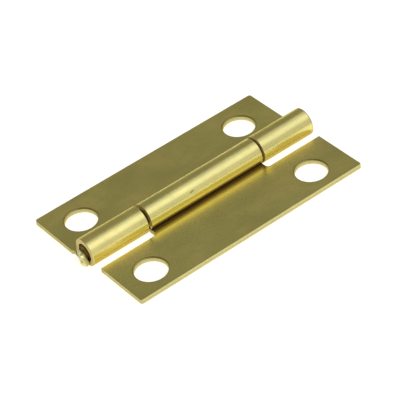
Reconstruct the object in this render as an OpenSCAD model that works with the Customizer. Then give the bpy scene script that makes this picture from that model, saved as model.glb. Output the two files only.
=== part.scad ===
// Sheet-metal butt hinge: two leaves rolled from plain sheet, joined by a wire pin that is hammered over.
// X runs along the pin, Z is up from the leaves' undersides, and the hinge lies open and flat.

/* [Leaves] */
// Length of each leaf along the pin
leaf_len = 38; // [32:1:60]
// Distance from the pin's centre line to each leaf's outer edge
leaf_reach = 11.7; // [10.8:0.1:20]
// Thickness of the sheet
sheet_t = 0.75; // [0.5:0.05:0.9]
// Radius of each leaf's two outer corners
corner_r = 0.4; // [0.25:0.05:1.5]
// Distance from the pin's centre line to the leaves' inner edges
edge_setback = 2.8; // [2.7:0.05:3.5]
// Radius in the corners where a knuckle's tab leaves the inner edge
root_r = 0.45; // [0.1:0.05:0.8]
// Radius that the punch leaves on the upper edges
roll_over = 0.15; // [0.05:0.01:0.2]

/* [Screw holes] */
// Diameter of the punched holes
hole_d = 4.6; // [2:0.1:5]
// Distance between the two holes of a leaf
hole_spacing = 27.7; // [20:0.1:28]
// Distance from the pin's centre line to the holes of the leaf with the outer knuckles
outer_hole_y = 7.1; // [6:0.05:8]
// Distance from the pin's centre line to the holes of the leaf with the middle knuckle
middle_hole_y = 7.8; // [6:0.05:8]
// Distance along the pin from a leaf's middle to the middle of its two holes
hole_shift = -0.6; // [-1:0.05:1]

/* [Knuckles] */
// Length of the knuckle at the front end
front_knuckle_len = 9.2; // [7:0.1:12]
// Length of the knuckle at the back end
back_knuckle_len = 8.8; // [7:0.1:12]
// Distance by which the front knuckle stops short of its leaf's front edge
front_inset = 0.2; // [0:0.05:0.4]
// Distance by which the back knuckle reaches past its leaf's back edge
back_reach = 0.3; // [0:0.05:0.5]
// Gap between the front knuckle and the middle one
front_gap = 0.6; // [0.1:0.05:1]
// Gap between the middle knuckle and the back one
back_gap = 0.22; // [0.1:0.02:1]
// Angle above level at which the outer knuckles' curl turns into its straight flank
flank_from = 30; // [15:1:45]
// Lean of the straight flank away from upright
flank_lean = 10; // [4:1:14]
// Gap between the sheet's free edge and the leaf that it comes down on
seam_gap = 0.05; // [0.03:0.01:0.2]

/* [Pin] */
// Diameter of the pin
pin_d = 2.3; // [1.8:0.05:2.4]
// Clearance round the pin in the middle knuckle, on the radius
run_clear = 0.08; // [0.02:0.01:0.1]
// Clearance round the pin in the outer knuckles, on the radius
loose_clear = 0.17; // [0.15:0.01:0.3]
// Clearance left where the pin rests on the outer knuckles' bores, on the radius
rest_clear = 0.02; // [0.01:0.005:0.03]
// Length of pin that stands out of the back knuckle
pin_out = 0.4; // [0.3:0.05:1.5]
// Height of the dome on each end of the pin
dome_h = 0.45; // [0.2:0.05:0.5]
// Diameter of the end that is hammered over at the front
peen_d = 2.5; // [2.2:0.05:2.6]
// Length of that end, out from the front knuckle
peen_out = 0.9; // [0.7:0.05:1.2]
// Distance by which that end is driven down from the pin's centre line
peen_drop = 0.7; // [0.2:0.05:0.7]
// Distance by which it is driven towards the back of the knuckle
peen_shift = 0.1; // [0:0.05:0.3]
// Gap between the hammered end and the front knuckle
peen_gap = 0.05; // [0.03:0.01:0.15]
// Length of the thinned neck behind the hammered end, inside the front knuckle
neck_len = 0.3; // [0.2:0.05:0.6]

/* [Hidden] */
$fn = 96;
brass = [0.72, 0.66, 0.35];
pin_brass = [0.66, 0.58, 0.29];
pin_r = pin_d / 2;
middle_r = pin_r + run_clear + sheet_t;
outer_r = pin_r + loose_clear + sheet_t;
pin_z = middle_r;
curl_rise = outer_r - middle_r;
curl_back = sqrt(pow(loose_clear - rest_clear, 2) - pow(curl_rise, 2));
front_x = -leaf_len / 2;
back_x = leaf_len / 2;
barrel_front_x = front_x + front_inset;
barrel_back_x = back_x + back_reach;
notch_front_x = barrel_front_x + front_knuckle_len;
notch_back_x = barrel_back_x - back_knuckle_len;
middle_front_x = notch_front_x + front_gap;
middle_back_x = notch_back_x - back_gap;
middle_x = (middle_front_x + middle_back_x) / 2;
// Angle by which the flank and the tab reach into the curl's wall
lap = 12;
// How far a cut overshoots
over = 0.5;
// Length by which the neck reaches into the shaft and into the hammered end
neck_lap = 0.05;
// Radius that the neck loses for each millimetre by which the hammered end is off the centre line
neck_thinning = 0.6;
// Direction down along the flank
down = [sin(flank_lean), -cos(flank_lean)];
// Angle below level at which the middle knuckle's curl ends, just above its leaf
middle_curl_end = asin((middle_r - sheet_t - seam_gap) / middle_r);

// Point on the unit circle at angle a.
function dir(a) = [cos(a), sin(a)];

// Length of the flank on the circle of radius r, from the curl's end down to the seam.
function flank_run(r, roll_r) =
    (r * sin(flank_from) - sheet_t - seam_gap + roll_r) / cos(flank_lean);

// A knuckle's section is drawn as Y across and Z up, with the leaf running to +Y.
// The sheet passes under the pin, curls up and over it, and comes down again towards the leaf.

// Section of the round curl, from the bottom round to end_angle.
module curl_section(roll_r, end_angle) {
    far = 2 * roll_r;
    difference() {
        circle(r = roll_r);
        circle(r = roll_r - sheet_t);
        polygon([[0, 0], far * dir(-90), far * dir((end_angle - 90) / 2), far * dir(end_angle)]);
    }
}

// Section of the straight flank that runs from the curl's end down to the leaf.
module flank_section(roll_r) {
    bore_r = roll_r - sheet_t;
    end = dir(flank_from);
    polygon([
        bore_r * end,
        (roll_r - sheet_t / 2) * dir(flank_from + lap),
        roll_r * end,
        roll_r * end + flank_run(roll_r, roll_r) * down,
        bore_r * end + flank_run(bore_r, roll_r) * down
    ]);
}

// Section of the flat tab between the curl's bottom and the leaf.
module tab_section(roll_y) {
    polygon([
        [roll_y - sheet_t / 3, sheet_t / 2],
        [roll_y, 0],
        [edge_setback + root_r, 0],
        [edge_setback + root_r, sheet_t],
        [roll_y, sheet_t]
    ]);
}

// Section of an outer knuckle, whose curl turns into a straight flank.
module outer_section() {
    translate([-curl_back, outer_r]) {
        curl_section(outer_r, flank_from);
        flank_section(outer_r);
    }
    tab_section(-curl_back);
}

// Section of the middle knuckle, which is curled right down to its leaf.
module middle_section() {
    translate([0, middle_r]) curl_section(middle_r, -middle_curl_end);
    tab_section(0);
}

// One length of knuckle with its tab, from the section that is its child.
module knuckle(from_x, to_x) {
    translate([from_x, 0, 0])
        rotate([90, 0, 90])
            linear_extrude(to_x - from_x) children();
}

// The small web that rounds a tab's corner at the leaf's inner edge; side says which way it opens.
module root_web(x, side) {
    translate([x, edge_setback, 0])
        linear_extrude(sheet_t)
            difference() {
                translate([side > 0 ? 0 : -root_r, -root_r]) square([root_r, 2 * root_r]);
                translate([side * root_r, -root_r]) circle(r = root_r);
            }
}

// Section of the cut that rounds an edge: the edge is at the origin, between +X and +Y.
module round_cut() {
    translate([-roll_over, -roll_over])
        difference() {
            square(roll_over + over);
            circle(r = roll_over, $fn = 24);
        }
}

// Cut for one punched hole, with the rim that the punch draws down.
module hole_cut() {
    translate([0, 0, -over]) cylinder(h = sheet_t + 2 * over, d = hole_d);
    translate([0, 0, sheet_t])
        rotate_extrude()
            translate([hole_d / 2, 0]) mirror([1, 0]) round_cut();
}

// Flat part of a leaf with its two outer corners rounded and its two holes punched.
module plate(hole_y) {
    difference() {
        linear_extrude(sheet_t) {
            translate([front_x, edge_setback]) square([leaf_len, leaf_reach - edge_setback - corner_r]);
            translate([front_x + corner_r, edge_setback])
                square([leaf_len - 2 * corner_r, leaf_reach - edge_setback]);
            for (x = [front_x + corner_r, back_x - corner_r])
                translate([x, leaf_reach - corner_r]) circle(r = corner_r);
        }
        for (side = [-1, 1])
            translate([hole_shift + side * hole_spacing / 2, hole_y, 0]) hole_cut();
    }
}

// Leaf with the front and back knuckles, whose bores let the pin drop on their rear lower side.
module outer_leaf() {
    color(brass) {
        plate(outer_hole_y);
        knuckle(barrel_front_x, notch_front_x) outer_section();
        knuckle(notch_back_x, barrel_back_x) outer_section();
        root_web(notch_front_x, 1);
        root_web(notch_back_x, -1);
    }
}

// Leaf with the middle knuckle, which turns on the pin.
module middle_leaf() {
    color(brass)
        mirror([0, 1, 0]) {
            translate([middle_x, 0, 0]) plate(middle_hole_y);
            knuckle(middle_front_x, middle_back_x) middle_section();
            root_web(middle_front_x, -1);
            root_web(middle_back_x, 1);
        }
}

// Section of a round bar of radius r whose domed end is at height top.
module dome_section(r, top) {
    dome_r = (pow(r, 2) + pow(dome_h, 2)) / (2 * dome_h);
    difference() {
        square([r, top]);
        difference() {
            translate([0, top - dome_h]) square([r + over, dome_h + over]);
            translate([0, top - dome_r]) circle(r = dome_r);
        }
    }
}

// Shaft with a domed back end, a thinned neck, and a front end that is hammered over and down.
module pin() {
    shaft_x = barrel_front_x + neck_len;
    neck_r = pin_r - neck_thinning * (peen_drop + peen_shift);
    color(pin_brass)
        translate([0, 0, pin_z]) {
            translate([shaft_x, 0, 0])
                rotate([0, 90, 0])
                    rotate_extrude() dome_section(pin_r, barrel_back_x + pin_out - shaft_x);
            translate([shaft_x + neck_lap, peen_shift / 2, -peen_drop / 2])
                rotate([0, -90, 0]) cylinder(h = neck_len + peen_gap + 2 * neck_lap, r = neck_r);
            translate([barrel_front_x - peen_gap, peen_shift, -peen_drop])
                rotate([0, -90, 0])
                    rotate_extrude() dome_section(peen_d / 2, peen_out - peen_gap);
        }
}

outer_leaf();
middle_leaf();
pin();
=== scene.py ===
# A small brass butt hinge lying open: two leaves of thin rolled sheet and the wire pin through
# their knuckles. X runs along the pin and Z is up. The hinge's own lengths are in millimetres, and
# times MM where metres are wanted. The lengths of the studio round it are in metres.
import math
from types import SimpleNamespace
import bmesh
import bpy
from mathutils import Matrix, Vector


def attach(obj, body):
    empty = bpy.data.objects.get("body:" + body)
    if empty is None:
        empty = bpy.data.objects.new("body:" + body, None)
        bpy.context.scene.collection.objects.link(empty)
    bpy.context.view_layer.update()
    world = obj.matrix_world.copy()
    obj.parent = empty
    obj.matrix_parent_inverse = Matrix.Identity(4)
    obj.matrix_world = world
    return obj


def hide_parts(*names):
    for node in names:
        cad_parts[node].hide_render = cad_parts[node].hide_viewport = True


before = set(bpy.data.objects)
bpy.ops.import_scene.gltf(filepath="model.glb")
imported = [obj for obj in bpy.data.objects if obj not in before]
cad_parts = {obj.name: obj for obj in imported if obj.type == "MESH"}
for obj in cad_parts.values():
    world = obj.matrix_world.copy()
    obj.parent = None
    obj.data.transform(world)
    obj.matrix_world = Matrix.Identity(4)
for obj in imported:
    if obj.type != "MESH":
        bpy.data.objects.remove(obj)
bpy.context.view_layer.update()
MM = 0.001

# Camera
# A long lens looks down on the hinge from the front left and leans a little in its own plane.
# Its angles, distance and focal length come from fitting the hinge's edges and holes.
look_from, look_down, lean = math.radians(32.66), math.radians(39.84), math.radians(-8.87)
eye_distance, eye_aside, eye_below = 268.31 * MM, 0.297 * MM, 0.451 * MM
frame_width_px, focal_px, sensor_width = 400, 1969.9, 36
back = Vector((-math.sin(look_from) * math.cos(look_down),
               -math.cos(look_from) * math.cos(look_down), math.sin(look_down)))
across = Vector((math.cos(look_from), -math.sin(look_from), 0.0))
upward = back.cross(across)
eye = back * eye_distance + across * eye_aside - upward * eye_below
stance = Matrix((across * math.cos(lean) + upward * math.sin(lean),
                 upward * math.cos(lean) - across * math.sin(lean), back)).transposed()
lens = bpy.data.cameras.new("camera")
lens.sensor_width = sensor_width
lens.lens = focal_px / frame_width_px * sensor_width
lens.clip_start, lens.clip_end = 0.01, 10
camera = bpy.data.objects.new("camera", lens)
camera.matrix_world = Matrix.Translation(eye) @ stance.to_4x4()
bpy.context.scene.collection.objects.link(camera)
bpy.context.scene.camera = camera
bpy.context.scene.view_settings.view_transform = "Standard"


# Studio
# A white paper sheet lies under the hinge in a grey room that is paler near the floor. One wide
# soft box lights it from the front, and a narrower, brighter one from above draws the highlight.
# A Wire is one output of a node tree, and sums on wires add Math nodes.
class Wire:
    def __init__(self, tree, socket):
        self.tree, self.socket = tree, socket

    def math(self, operation, first, second=0.0):
        return self.tree.add("ShaderNodeMath", {"operation": operation}, {0: first, 1: second})

    def __add__(self, other): return self.math("ADD", self, other)
    def __radd__(self, other): return self.math("ADD", other, self)
    def __sub__(self, other): return self.math("SUBTRACT", self, other)
    def __rsub__(self, other): return self.math("SUBTRACT", other, self)
    def __mul__(self, other): return self.math("MULTIPLY", self, other)
    def __rmul__(self, other): return self.math("MULTIPLY", other, self)
    def __truediv__(self, other): return self.math("DIVIDE", self, other)
    def __pow__(self, other): return self.math("POWER", self, other)
    def __abs__(self): return self.math("ABSOLUTE", self)
    def least(self, other): return self.math("MINIMUM", self, other)
    def most(self, other): return self.math("MAXIMUM", self, other)
    def root(self): return self.math("SQRT", self)

    # 0 below low and 1 above high, with a soft step between; the other way round if low > high
    def step(self, low, high):
        return self.tree.add("ShaderNodeMapRange", {"interpolation_type": "SMOOTHSTEP"},
                             {"Value": self, "From Min": low, "From Max": high})


class Tree:
    def __init__(self, nodes):
        self.nodes = nodes
        nodes.nodes.clear()

    # One node of any kind: its settings first, then the values or wires of its sockets
    def add(self, kind, settings=None, sockets=None, out=0):
        node = self.nodes.nodes.new(kind)
        for name, value in (settings or {}).items():
            setattr(node, name, value)
        for name, value in (sockets or {}).items():
            if isinstance(value, Wire):
                self.nodes.links.new(value.socket, node.inputs[name])
            else:
                node.inputs[name].default_value = value
        return Wire(self, node.outputs[out]) if node.outputs else node

    def parts(self, wire):
        split = self.add("ShaderNodeSeparateXYZ", {}, {0: wire}).socket.node
        return [Wire(self, output) for output in split.outputs]


room = bpy.data.worlds.new("grey_room")
room.use_nodes = True
bpy.context.scene.world = room
tree = Tree(room.node_tree)
height = tree.parts(tree.add("ShaderNodeTexCoord"))[2]
wall = tree.add("ShaderNodeMix", {"data_type": "RGBA"}, {
    0: height.step(0.02, 0.5), 6: (0.39, 0.375, 0.295, 1), 7: (0.252, 0.242, 0.178, 1)}, out=2)
wall = tree.add("ShaderNodeBackground", {}, {"Color": wall, "Strength": 1.0})
white = tree.add("ShaderNodeBackground", {}, {"Color": (1, 1, 1, 1), "Strength": 1.0})
seen = tree.add("ShaderNodeLightPath")
tree.add("ShaderNodeOutputWorld", {}, {
    "Surface": tree.add("ShaderNodeMixShader", {}, {0: seen, 1: wall, 2: white})})

paper_finish = bpy.data.materials.new("white_sheet")
paper_finish.use_nodes = True
tree = Tree(paper_finish.node_tree)
ray = tree.add("ShaderNodeLightPath").socket.node
seen = Wire(tree, ray.outputs["Is Camera Ray"]).most(Wire(tree, ray.outputs["Is Glossy Ray"]))
seen = seen.most(Wire(tree, ray.outputs["Is Transmission Ray"]))
paper = tree.add("ShaderNodeBsdfDiffuse", {}, {"Color": (0.72, 0.72, 0.72, 1)})
glow = tree.add("ShaderNodeEmission", {}, {"Color": (1, 1, 1, 1), "Strength": seen * 0.78})
tree.add("ShaderNodeOutputMaterial", {}, {
    "Surface": tree.add("ShaderNodeAddShader", {}, {0: paper, 1: glow})})

paper_reach, paper_z = 2, -0.05 * MM
corners = [(x * paper_reach, y * paper_reach, paper_z)
           for x, y in ((-1, -1), (1, -1), (1, 1), (-1, 1))]
sheet = bpy.data.meshes.new("white_sheet")
sheet.from_pydata(corners, [], [(0, 1, 2, 3)])
sheet.materials.append(paper_finish)
white_sheet = bpy.data.objects.new("white_sheet", sheet)
bpy.context.scene.collection.objects.link(white_sheet)


# A soft box at a distance from the hinge, tipped forward from straight above by so many degrees
# and standing a little way along the pin. It faces the hinge.
def soft_box(name, tipped, distance, width, depth, brightness, shade=(1, 1, 1)):
    along = 0.2
    tipped = math.radians(tipped)
    place = Vector((along, -math.sin(tipped) * distance, math.cos(tipped) * distance))
    light = bpy.data.lights.new(name, "AREA")
    light.shape, light.size, light.size_y = "RECTANGLE", width, depth
    light.energy = brightness * math.pi * width * depth
    light.color = shade
    lamp = bpy.data.objects.new(name, light)
    lamp.location = place
    lamp.rotation_euler = (-place).to_track_quat("-Z", "Y").to_euler()
    bpy.context.scene.collection.objects.link(lamp)


soft_box("wide_box", 48, 0.6, 1.5, 0.80, 0.40)
soft_box("bright_box", 22, 0.5, 0.9, 0.41, 0.50, (0.97, 1.0, 1.13))


# Leaves
# Each leaf is one piece of brass sheet 0.75 mm thick, rolled at its inner edge into knuckles and
# punched with two holes. The rolling mill leaves it bright and a little hazy; the shears leave a
# burnished band over a torn one on the cut faces, and the press eases the edges.
def noise(tree, place, scale, detail, roughness=0.5, distortion=0.0):
    return tree.add("ShaderNodeTexNoise", {}, {"Vector": place, "Scale": scale, "Detail": detail,
                                               "Roughness": roughness, "Distortion": distortion})


def stretch(tree, place, x, y, z):
    return tree.add("ShaderNodeMapping", {}, {"Vector": place, "Scale": (x, y, z)})


def tint(tree, share, low, high):
    low = low if isinstance(low, Wire) else (*low, 1.0)
    high = high if isinstance(high, Wire) else (*high, 1.0)
    return tree.add("ShaderNodeMix", {"data_type": "RGBA"}, {0: share, 6: low, 7: high}, out=2)


# A new material, its tree, the place on the piece in millimetres and the way that it faces
def new_finish(name):
    finish = bpy.data.materials.new(name)
    finish.use_nodes = True
    tree = Tree(finish.node_tree)
    coord = tree.add("ShaderNodeTexCoord").socket.node
    place = tree.add("ShaderNodeVectorMath", {"operation": "SCALE"},
                     {0: Wire(tree, coord.outputs["Object"]), "Scale": 1 / MM})
    return finish, tree, place, Wire(tree, coord.outputs["Normal"])


# Colour, roughness and relief of rolled brass: clouds, spots, rolling lines, hairs and smudges
def brass(tree, place):
    cloud = noise(tree, place, 0.16, 3, 0.6)
    spots = noise(tree, place, 0.9, 2, 0.5, 0.4)
    rolled = noise(tree, stretch(tree, place, 0.05, 2.6, 2.6), 1.0, 3, 0.6)
    hairs = noise(tree, stretch(tree, place, 0.35, 13, 13), 1.0, 2, 0.6)
    pale = noise(tree, stretch(tree, place, 0.07, 0.20, 0.20), 1.0, 2, 0.5, 0.6)
    smudge = noise(tree, stretch(tree, place, 0.10, 0.16, 0.16), 1.0, 4, 0.62, 0.8)
    base = tint(tree, cloud.step(0.38, 0.62), (0.86, 0.80, 0.33), (0.98, 0.86, 0.36))
    base = tint(tree, pale.step(0.42, 0.66) * 0.7, base, (0.75, 0.69, 0.29))
    base = tint(tree, spots.step(0.50, 0.72) * 0.4, base, (0.77, 0.68, 0.27))
    base = tint(tree, hairs.step(0.62, 0.8) * 0.2, base, (0.66, 0.56, 0.22))
    base = tint(tree, smudge.step(0.38, 0.62) * 0.45, base, (0.75, 0.69, 0.295))
    rough = 0.18 + cloud * 0.08 + spots * 0.06 + rolled * 0.05
    relief = cloud * 2.4 + spots * 0.2 + rolled * 0.4
    return base, rough, relief


# The finish that both leaves share. side is 1 or -1 for the side of the pin that the leaf lies on,
# curl and bore are the knuckles' centre and bore radius, and out is the distance from the pin.
def leaf_finish(name, side, curl, bore, holes):
    finish, tree, place, faces = new_finish(name)
    x, y, z = tree.parts(place)
    face_x, _, face_z = tree.parts(faces)
    out = y * side
    base, rough, relief = brass(tree, place)

    # sheared faces: burnished above, torn below, with a thin dark line between
    upright = (1 - face_z * face_z).step(0.7, 0.92)
    end = abs(face_x).step(0.6, 0.85)
    knuckle_end = end * out.step(2.6, 2.3)
    cut = upright * out.step(2.35, 2.6).most(end)
    scored = noise(tree, stretch(tree, place, 9, 9, 0.7), 1.0, 3, 0.6)
    on_leaf = out.step(2.2, 2.5)
    torn = (z + scored * 0.12).step(0.50, 0.44) * on_leaf
    line = (1 - abs(z + scored * 0.12 - 0.49).step(0.02, 0.07)) * on_leaf
    face = tint(tree, scored.step(0.35, 0.7), (0.70, 0.64, 0.31), (0.55, 0.49, 0.22))
    face = tint(tree, torn * 0.6, face, (0.65, 0.59, 0.29))
    dull = tint(tree, scored.step(0.4, 0.7), (0.78, 0.67, 0.35), (0.62, 0.50, 0.23))
    face = tint(tree, knuckle_end, face, dull)
    face = tint(tree, line * 0.7, face, (0.40, 0.30, 0.10))
    base = tint(tree, cut, base, face)
    rough = rough + cut * (0.12 + torn * 0.12 + knuckle_end * 0.25)
    relief = relief + cut * scored * 1.2

    # a ragged dark ring round each hole, darker towards the back
    ring_radius = 2.44
    ragged = noise(tree, place, 2.5, 2) * 0.08
    for hole_x, hole_y in holes:
        away = ((x - hole_x) ** 2 + (y - hole_y) ** 2) ** 0.5 + ragged - ring_radius
        ring = (1 - abs(away).step(0.07, 0.19)) * z.step(0.5, 0.62)
        towards_back = (y - hole_y + (x - hole_x) * 0.5).step(-1.8, 2.2) * 0.75 + 0.12
        base = tint(tree, ring * towards_back, base, (0.36, 0.30, 0.10))

    # brown grease in the bore, where no buff reaches
    reach = ((out - curl[0]) ** 2 + (z - curl[1]) ** 2) ** 0.5
    inside = reach.step(bore + 0.10, bore + 0.03) * (1 - end)
    base = tint(tree, inside, base, (0.50, 0.26, 0.03))
    rough = rough + inside * 0.2
    metal = 1 - inside * 0.75
    return finish, tree, SimpleNamespace(
        x=x, z=z, out=out, end=end, knuckle_end=knuckle_end, cut=cut,
        base=base, rough=rough, metal=metal, relief=relief)


# Ties the finish together: grazing is the colour of its edges, and bowed a normal to start from
def close_finish(tree, skin, grazing, bowed=None):
    relief = {"Strength": 0.45, "Distance": 0.006 * MM, "Height": skin.relief}
    if bowed:
        relief["Normal"] = bowed
    shader = tree.add("ShaderNodeBsdfPrincipled", {}, {
        "Base Color": skin.base, "Metallic": skin.metal, "Roughness": skin.rough,
        "Specular IOR Level": 0.0, "Specular Tint": (*grazing, 1),
        "Normal": tree.add("ShaderNodeBump", {}, relief)})
    tree.add("ShaderNodeOutputMaterial", {}, {"Surface": shader})


# A leaf with its sheared edges rounded a little. The punched rims are round in the frame already.
def eased(node, name, holes, finish):
    ease, ease_steps, sharp = 0.09 * MM, 3, math.radians(38)
    rim_reach, upper_half = 2.6 * MM, 0.3 * MM
    work = bmesh.new()
    work.from_mesh(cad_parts[node].data)
    bmesh.ops.remove_doubles(work, verts=work.verts, dist=0.0008 * MM)
    bmesh.ops.dissolve_limit(work, angle_limit=math.radians(0.04), verts=work.verts,
                             edges=work.edges)
    work.normal_update()

    def punched(vert):
        nearest = min((vert.co.xy - Vector(hole) * MM).length for hole in holes)
        return vert.co.z > upper_half and nearest < rim_reach

    edges = [edge for edge in work.edges
             if len(edge.link_faces) == 2 and edge.calc_face_angle(0) > sharp
             and not any(punched(vert) for vert in edge.verts)]
    bmesh.ops.bevel(work, geom=edges, offset=ease, offset_type="OFFSET", segments=ease_steps,
                    profile=0.5, affect="EDGES", clamp_overlap=False)
    bmesh.ops.recalc_face_normals(work, faces=work.faces)
    mesh = bpy.data.meshes.new(name)
    work.to_mesh(mesh)
    work.free()
    for layer in [layer.name for layer in mesh.attributes if "normal" in layer.name]:
        mesh.attributes.remove(mesh.attributes[layer])
    mesh.shade_smooth()
    piece = bpy.data.objects.new(name, mesh)
    bpy.context.scene.collection.objects.link(piece)
    weighted = piece.modifiers.new("faces", "WEIGHTED_NORMAL")
    weighted.keep_sharp = True
    bpy.context.view_layer.update()
    depsgraph = bpy.context.evaluated_depsgraph_get()
    shown = bpy.data.meshes.new_from_object(piece.evaluated_get(depsgraph))
    piece.modifiers.clear()
    piece.data = shown
    shown.materials.clear()
    shown.materials.append(finish)
    return piece


# Far leaf
# The leaf with the front and back knuckles. They are rolled a little large, so the pin lies low
# in them, and each ends in a straight flank that comes down on the leaf.
far_holes = ((-14.45, 7.1), (13.25, 7.1))
finish, tree, skin = leaf_finish("leaf_brass", 1, (-0.12, 2.07), 1.32, far_holes)
# painted shade: the rear rim of the back knuckle is darkened to stand for the dark that its
# rounded edge reflects
back_rim_shade = skin.x.step(19.10, 19.22) * skin.z.step(1.6, 2.4)
skin.base = tint(tree, back_rim_shade * 0.9, skin.base, (0.20, 0.16, 0.06))
# painted sheen: the outer knuckles' side towards the camera is tinted a deeper gold below the top
painted_sheen = skin.z.step(3.1, 2.4) * skin.out.step(-1.0, -1.4) * (1 - skin.end)
skin.base = tint(tree, painted_sheen * 0.6, skin.base, (0.90, 0.76, 0.22))
# painted shade: the low front flank of the outer knuckles is darkened where it would mirror the
# white floor
lower_flank_shade = skin.out.step(-1.7, -2.0) * skin.z.step(2.1, 1.3) * (1 - skin.end)
skin.base = tint(tree, lower_flank_shade * 0.9, skin.base, (0.56, 0.41, 0.11))
seam = (1 - abs(skin.out - 2.05).step(0.12, 0.35)) * skin.z.step(1.1, 0.8)
skin.base = tint(tree, seam * 0.8, skin.base, (0.26, 0.16, 0.05))
close_finish(tree, skin, (0.74, 0.67, 0.43))
far_leaf = eased("outer_leaf", "far_leaf", far_holes, finish)
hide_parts("outer_leaf")
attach(far_leaf, "fixed_leaf")


# Near leaf
# The leaf with the middle knuckle, curled round all the way, which turns on the pin. Shade is
# painted under the curl, and a small scuff marks the knuckle's front.
near_holes = ((-13.81, -7.8), (13.89, -7.8))
finish, tree, skin = leaf_finish("leaf_brass_moving", -1, (0.0, 1.98), 1.23, near_holes)
# painted light: the middle knuckle's end faces, down in the gaps, are tinted pale gold as if lit
skin.base = tint(tree, skin.knuckle_end, skin.base, (0.96, 0.80, 0.42))
# painted sheen: the middle knuckle's side towards the camera is tinted a deeper gold below the top
painted_sheen = skin.z.step(3.0, 2.4) * skin.z.step(0.85, 1.0) * skin.out.step(0.8, 1.2) * (1 - skin.end)
skin.base = tint(tree, painted_sheen * 0.6, skin.base, (0.86, 0.76, 0.21))
# painted reflection: a brighter gold band along the leaf's top beside the knuckle stands for the
# knuckle mirrored in the sheet
inner_edge_reflection = skin.out.step(5.0, 3.0) * skin.z.step(0.85, 0.8) * (1 - skin.cut)
skin.base = tint(tree, inner_edge_reflection * 0.4, skin.base, (0.96, 0.79, 0.31))
# painted shade: the cut sides of the tab, down in the gaps between the knuckles, are darkened
tab_side_shade = skin.cut * skin.z.step(0.86, 0.72) * skin.out.step(0.8, 1.4) * skin.out.step(3.5, 3.1)
skin.base = tint(tree, tab_side_shade * 0.9, skin.base, (0.46, 0.37, 0.12))
# painted shade under the middle knuckle, where it comes down on the leaf, also made a little
# rougher
under_curl_shade = skin.out.step(0.9, 1.3) * skin.out.step(2.65, 2.0) * skin.z.step(1.95, 1.15)
under_curl_shade = under_curl_shade * (1 - skin.end)
skin.base = tint(tree, under_curl_shade * 0.85, skin.base, (0.27, 0.18, 0.06))
skin.rough = skin.rough + under_curl_shade * 0.16
scuff_x, scuff_z = skin.x + 1.8, skin.z - 3.05
scuff = (scuff_x / 0.42) ** 2 + ((scuff_z - scuff_x * 0.15) / 0.09) ** 2
scuff = scuff.step(1.3, 0.5) * skin.out.step(1.0, 1.2)
skin.base = tint(tree, scuff * 0.8, skin.base, (0.34, 0.26, 0.09))

# the rolling leaves the leaf bowed down at its inner edge, most beside the knuckle's ends
edge_out, bow_width, bow_fall = 2.8, 3.0, -0.09
bow = (skin.out - edge_out).least(bow_width).most(0.0) / bow_width
fall = (1 + abs(skin.x - 0.5).step(9.5, 11.0) * 1.4) * bow_fall
bowed = tree.add("ShaderNodeBump", {}, {
    "Strength": 1.0, "Distance": MM,
    "Height": (bow * 2.0 - bow * bow - 1.0) * (1 - skin.cut) * fall})
close_finish(tree, skin, (0.90, 0.83, 0.58), bowed)
near_leaf = eased("middle_leaf", "near_leaf", near_holes, finish)
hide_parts("middle_leaf")
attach(near_leaf, "swinging_leaf")


# Pin
# Drawn brass wire, 2.3 mm thick and domed at the back. Its front end is hammered over into a
# button with a hump and a lobe, driven down on the knuckle. Each is swept round by one rule.
axis_z, neck_front_x, neck_radius = 1.98, -18.9, 0.67
button_x, button_y, button_z = -18.85, 0.10, 1.28

finish, tree, place, _ = new_finish("pin_brass")
x, y, z = tree.parts(place)
base, rough, relief = brass(tree, place)
dents = tree.add("ShaderNodeTexVoronoi", {"feature": "SMOOTH_F1"},
                 {"Vector": place, "Scale": 2.2, "Smoothness": 0.6})
shown = x.step(-18.80, -18.84).most(x.step(19.15, 19.3))
from_axis = (y ** 2 + (z - axis_z) ** 2) ** 0.5
# the shaft inside the knuckles is brown, partly grease and partly painted shade; its end face seen
# in the bore is a lighter brown
shaft_end = x.step(-18.5, -18.7) * from_axis.step(0.95, 0.55) * 0.9
grease_and_shade = tint(tree, shaft_end, (0.16, 0.09, 0.010), (0.40, 0.29, 0.06))
# painted light on the button: a painted highlight on the hump, paler over the lobe and painted
# shade out towards the rim, with small dents darkened
from_lobe = ((y + 0.05) ** 2 + (z - 0.56) ** 2).root()
from_hump = ((y + 0.08) ** 2 + (z - 1.94) ** 2).root()
button_light_and_dents = tint(tree, from_lobe.step(1.0, 0.6), (0.45, 0.39, 0.16), (0.82, 0.75, 0.34))
button_light_and_dents = tint(tree, from_hump.step(0.60, 0.30), button_light_and_dents, (0.96, 0.90, 0.52))
button_light_and_dents = tint(tree, dents.step(0.5, 0.1) * 0.25, button_light_and_dents, (0.50, 0.42, 0.17))
base = tint(tree, shown, grease_and_shade, tint(tree, x.step(-19.0, -18.0), button_light_and_dents, base))
rough = tree.add("ShaderNodeMix", {}, {0: shown, 2: 0.42, 3: rough + 0.1})
bump = tree.add("ShaderNodeBump", {}, {"Strength": 0.5, "Distance": 0.02 * MM,
                                       "Height": relief * 0.3 + dents * shown * 0.25})
shader = tree.add("ShaderNodeBsdfPrincipled", {}, {
    "Base Color": base, "Metallic": 0.4 + shown * 0.6, "Roughness": rough,
    "Specular IOR Level": 0.0, "Normal": bump})
tree.add("ShaderNodeOutputMaterial", {}, {"Surface": shader})

turned = bpy.data.node_groups.new("turned_pin", "GeometryNodeTree")
sizes = {"Wire radius": 1.15, "Dome height": 0.45, "Back end": 19.7, "Button radius": 1.20}
for name in sizes:
    turned.interface.new_socket(name, in_out="INPUT", socket_type="NodeSocketFloat")
turned.interface.new_socket("Pin", in_out="OUTPUT", socket_type="NodeSocketGeometry")
tree = Tree(turned)
given = tree.add("NodeGroupInput").socket.node.outputs
wire_radius, dome_height, back_end, button_radius = [Wire(tree, given[name]) for name in sizes]


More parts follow.
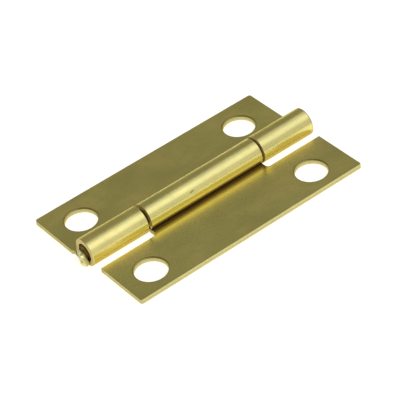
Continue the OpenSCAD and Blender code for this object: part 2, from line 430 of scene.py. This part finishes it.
def sine(angle): return angle.math("SINE", angle)
def cosine(angle): return angle.math("COSINE", angle)
def bell(off, width): return off.math("EXPONENT", (off / width) ** 2 * -1)


# A closed shell of rings: place says where the point goes that is u of the way along, at an angle
def swept(rings, place):
    ring_points = 97
    grid = tree.add("GeometryNodeMeshGrid", {}, {
        "Size X": 1.0, "Size Y": 1.0, "Vertices X": rings, "Vertices Y": ring_points})
    u, v, _ = tree.parts(tree.add("GeometryNodeInputPosition"))
    x, y, z = place(u + 0.5, (v + 0.5) * (2 * math.pi))
    spot = tree.add("ShaderNodeCombineXYZ", {}, {"X": x * MM, "Y": y * MM, "Z": z * MM})
    shell = tree.add("GeometryNodeSetPosition", {}, {"Geometry": grid, "Position": spot})
    shell = tree.add("GeometryNodeMergeByDistance", {}, {"Geometry": shell,
                                                         "Distance": 0.002 * MM})
    return tree.add("GeometryNodeFlipFaces", {}, {"Mesh": shell})


# The rings stand closer at both ends, where they close to a point. The first ones are the neck
# that the hammer thinned, and the last ones the dome.
def wire_place(u, angle):
    x = (back_end - neck_front_x) * (u - sine(u * (2 * math.pi)) * 0.154) + neck_front_x
    full = x.step(-18.80, -18.70)
    ball = (wire_radius ** 2 + dome_height ** 2) / (dome_height * 2)
    past = (x - back_end + ball).most(0.0)
    radius = (wire_radius - neck_radius) * full + neck_radius
    closed = (u * 90).least(1.0).least((1 - u) * 190)
    radius = (ball ** 2 - past ** 2).root().least(radius) * closed
    neck = 1 - full
    return x, radius * cosine(angle) + neck * 0.05, radius * sine(angle) + axis_z - neck * 0.35


# Rings from the middle of the face to the rim, then along the side, then over the rear
def button_place(u, angle):
    face_end, side_end = 0.7, 0.85
    turn = angle * (180 / math.pi)
    rim = button_radius + bell(turn - 236, 28) * 0.14 + bell(turn - 275, 20) * 0.04
    rim = rim - bell(turn - 145, 25) * 0.14
    share = sine((u / face_end).least(1.0) * (math.pi / 2))
    side = ((u - face_end) / (side_end - face_end)).most(0.0).least(1.0)
    rear = ((u - side_end) / (1 - side_end)).most(0.0)
    y, z = share * rim * cosine(angle), share * rim * sine(angle)
    hump = bell(((y + 0.18) ** 2 + (z - 0.66) ** 2).root(), 0.30) * 0.28
    lobe = bell(((y + 0.15) ** 2 + (z + 0.72) ** 2).root(), 0.62) * 0.36
    crease = bell(y + 0.2, 0.8) * bell(z + 0.10 - y * 0.25, 0.17) * 0.05
    proud = (1 - share ** 3).most(0.0).root() * 0.19 + 0.28 + hump + lobe - crease
    shrink = (1 - side ** 4 * 0.1) * (1 - rear)
    return button_x - proud * (1 - side), y * shrink + button_y, z * shrink + button_z


both = tree.add("GeometryNodeJoinGeometry", {}, {"Geometry": swept(96, wire_place)})
turned.links.new(swept(48, button_place).socket, both.socket.node.inputs["Geometry"])
both = tree.add("GeometryNodeRealizeInstances", {}, {"Geometry": both})
both = tree.add("GeometryNodeSetMaterial", {}, {"Geometry": both, "Material": finish})
tree.add("NodeGroupOutput", {}, {"Pin": both})

wire_pin = bpy.data.objects.new("wire_pin", bpy.data.meshes.new("wire_pin"))
bpy.context.scene.collection.objects.link(wire_pin)
turning = wire_pin.modifiers.new("turned", "NODES")
turning.node_group = turned
for item in turned.interface.items_tree:
    if item.name in sizes:
        turning[item.identifier] = sizes[item.name]
bpy.context.view_layer.update()
depsgraph = bpy.context.evaluated_depsgraph_get()
wire_mesh = bpy.data.meshes.new_from_object(wire_pin.evaluated_get(depsgraph))
wire_pin.modifiers.clear()
wire_pin.data = wire_mesh
wire_mesh.shade_smooth()
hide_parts("pin")
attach(wire_pin, "fixed_leaf")
